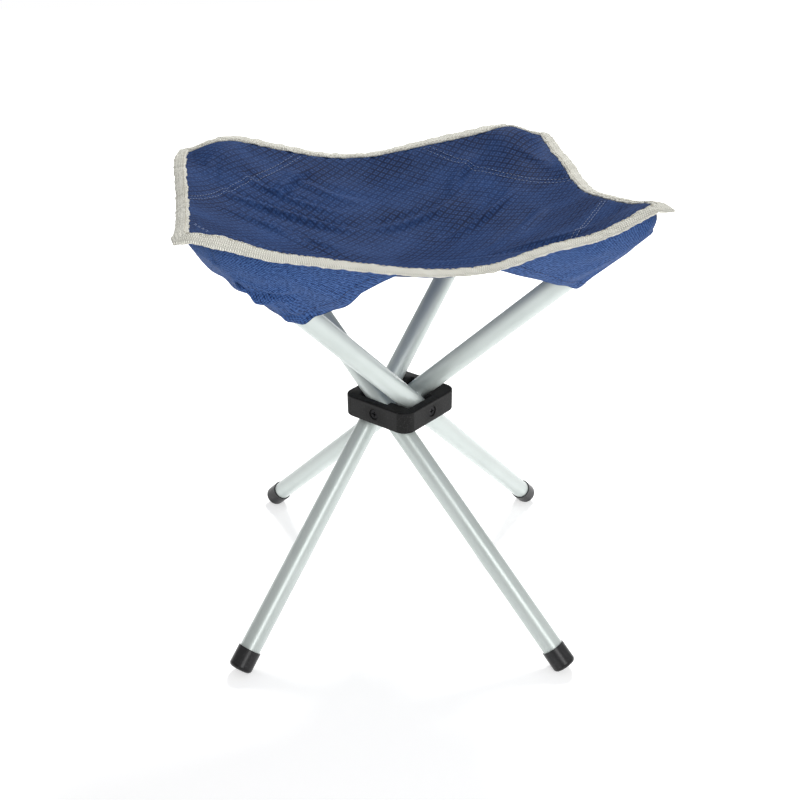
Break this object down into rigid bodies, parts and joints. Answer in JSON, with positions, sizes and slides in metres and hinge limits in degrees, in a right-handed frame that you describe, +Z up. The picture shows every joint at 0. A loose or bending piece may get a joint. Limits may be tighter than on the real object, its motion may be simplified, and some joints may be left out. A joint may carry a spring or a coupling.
{
  "type": "camp stool",
  "caption": "Folding camp stool with crossed tube legs turning in a square central hub under a sagging square fabric seat with bound edges and corner pockets.",
  "frame": {"origin": "on the ground under the middle of the hub", "axes": "+Z up; the seat's sides run along X and Y, and its corners lie on the diagonals; the front of the picture is roughly -Y"},
  "size_m": [0.2984, 0.2984, 0.3549],
  "materials": {
    "hub_plastic": "matte moulded",
    "cap_plastic": "smooth, slightly glossy",
    "tube_paint": "silver grey powder coat on steel",
    "bolt_steel": "dark zinc",
    "nut_steel": "zinc",
    "seat_fabric": "coated woven polyester with a raised square grid",
    "pocket_fabric": "plain woven polyester",
    "binding_tape": "folded woven tape, stitched"
  },
  "bodies": {
    "hub": {"hub": "hub_plastic", "pivot_bolt_1": "bolt_steel", "pivot_bolt_2": "bolt_steel", "pivot_bolt_3": "bolt_steel", "pivot_bolt_4": "bolt_steel", "lock_nut_1": "nut_steel", "lock_nut_2": "nut_steel", "lock_nut_3": "nut_steel", "lock_nut_4": "nut_steel"},
    "leg_1": {"leg_tube_1": "tube_paint", "foot_cap_1": "cap_plastic", "top_cap_1": "cap_plastic", "corner_pocket_1": "pocket_fabric"},
    "leg_2": {"leg_tube_2": "tube_paint", "foot_cap_2": "cap_plastic", "top_cap_2": "cap_plastic", "corner_pocket_2": "pocket_fabric"},
    "leg_3": {"leg_tube_3": "tube_paint", "foot_cap_3": "cap_plastic", "top_cap_3": "cap_plastic", "corner_pocket_3": "pocket_fabric"},
    "leg_4": {"leg_tube_4": "tube_paint", "foot_cap_4": "cap_plastic", "top_cap_4": "cap_plastic", "corner_pocket_4": "pocket_fabric"},
    "seat_1a": {"seat_panel_1a": "seat_fabric", "edge_binding_1a": "binding_tape"},
    "seat_1b": {"seat_panel_1b": "seat_fabric", "edge_binding_1b": "binding_tape"},
    "seat_2a": {"seat_panel_2a": "seat_fabric", "edge_binding_2a": "binding_tape"},
    "seat_2b": {"seat_panel_2b": "seat_fabric", "edge_binding_2b": "binding_tape"},
    "seat_3a": {"seat_panel_3a": "seat_fabric", "edge_binding_3a": "binding_tape"},
    "seat_3b": {"seat_panel_3b": "seat_fabric", "edge_binding_3b": "binding_tape"},
    "seat_4a": {"seat_panel_4a": "seat_fabric", "edge_binding_4a": "binding_tape"},
    "seat_4b": {"seat_panel_4b": "seat_fabric", "edge_binding_4b": "binding_tape"}
  },
  "joints": [
    {"name": "leg_1_fold", "type": "hinge", "parent": "hub", "child": "leg_1", "pos_m": [-0.01311, -0.01083, 0.16682], "axis": [0.771, 0.6369, 0], "range_deg": [0, 43.5]},
    {"name": "leg_2_fold", "type": "hinge", "parent": "hub", "child": "leg_2", "pos_m": [0.01083, -0.01311, 0.16682], "axis": [-0.6369, 0.771, 0], "range_deg": [0, 43.5]},
    {"name": "leg_3_fold", "type": "hinge", "parent": "hub", "child": "leg_3", "pos_m": [0.01311, 0.01083, 0.16682], "axis": [-0.771, -0.6369, 0], "range_deg": [0, 43.5]},
    {"name": "leg_4_fold", "type": "hinge", "parent": "hub", "child": "leg_4", "pos_m": [-0.01083, 0.01311, 0.16682], "axis": [0.6369, -0.771, 0], "range_deg": [0, 43.5]},
    {"name": "seat_fold_1a", "type": "hinge", "parent": "leg_1", "child": "seat_1a", "pos_m": [-0.14204, 0.1687, 0.35712], "axis": [0.8991, 0.4185, -0.1282], "range_deg": [0, 24.55], "deforming": ["seat_panel_1a", "edge_binding_1a", "corner_pocket_1"]},
    {"name": "seat_fold_1b", "type": "hinge", "parent": "leg_1", "child": "seat_1b", "pos_m": [-0.13893, 0.11863, 0.33551], "axis": [-0.4079, 0.7938, 0.4511], "range_deg": [0, 71.34], "deforming": ["seat_panel_1b", "edge_binding_1b"]},
    {"name": "seat_fold_2a", "type": "hinge", "parent": "leg_2", "child": "seat_2a", "pos_m": [-0.1687, -0.14204, 0.35712], "axis": [-0.4185, 0.8991, -0.1282], "range_deg": [0, 24.55], "deforming": ["seat_panel_2a", "edge_binding_2a", "corner_pocket_2"]},
    {"name": "seat_fold_2b", "type": "hinge", "parent": "leg_2", "child": "seat_2b", "pos_m": [-0.11863, -0.13893, 0.33551], "axis": [-0.7938, -0.4079, 0.4511], "range_deg": [0, 71.34], "deforming": ["seat_panel_2b", "edge_binding_2b"]},
    {"name": "seat_fold_3a", "type": "hinge", "parent": "leg_3", "child": "seat_3a", "pos_m": [0.14204, -0.1687, 0.35712], "axis": [-0.8991, -0.4185, -0.1282], "range_deg": [0, 24.55], "deforming": ["seat_panel_3a", "edge_binding_3a", "corner_pocket_3"]},
    {"name": "seat_fold_3b", "type": "hinge", "parent": "leg_3", "child": "seat_3b", "pos_m": [0.13893, -0.11863, 0.33551], "axis": [0.4079, -0.7938, 0.4511], "range_deg": [0, 71.34], "deforming": ["seat_panel_3b", "edge_binding_3b"]},
    {"name": "seat_fold_4a", "type": "hinge", "parent": "leg_4", "child": "seat_4a", "pos_m": [0.1687, 0.14204, 0.35712], "axis": [0.4185, -0.8991, -0.1282], "range_deg": [0, 24.55], "deforming": ["seat_panel_4a", "edge_binding_4a", "corner_pocket_4"]},
    {"name": "seat_fold_4b", "type": "hinge", "parent": "leg_4", "child": "seat_4b", "pos_m": [0.11863, 0.13893, 0.33551], "axis": [0.7938, 0.4079, 0.4511], "range_deg": [0, 71.34], "deforming": ["seat_panel_4b", "edge_binding_4b"]}
  ],
  "couplings": [
    {"joint": "leg_2_fold", "follows": "leg_1_fold", "ratio": 1},
    {"joint": "leg_3_fold", "follows": "leg_1_fold", "ratio": 1},
    {"joint": "leg_4_fold", "follows": "leg_1_fold", "ratio": 1},
    {"joint": "seat_fold_1a", "follows": "leg_1_fold", "ratio": 0.56404},
    {"joint": "seat_fold_1b", "follows": "leg_1_fold", "ratio": 1.6398},
    {"joint": "seat_fold_2a", "follows": "leg_1_fold", "ratio": 0.56404},
    {"joint": "seat_fold_2b", "follows": "leg_1_fold", "ratio": 1.6398},
    {"joint": "seat_fold_3a", "follows": "leg_1_fold", "ratio": 0.56404},
    {"joint": "seat_fold_3b", "follows": "leg_1_fold", "ratio": 1.6398},
    {"joint": "seat_fold_4a", "follows": "leg_1_fold", "ratio": 0.56404},
    {"joint": "seat_fold_4b", "follows": "leg_1_fold", "ratio": 1.6398}
  ]
}
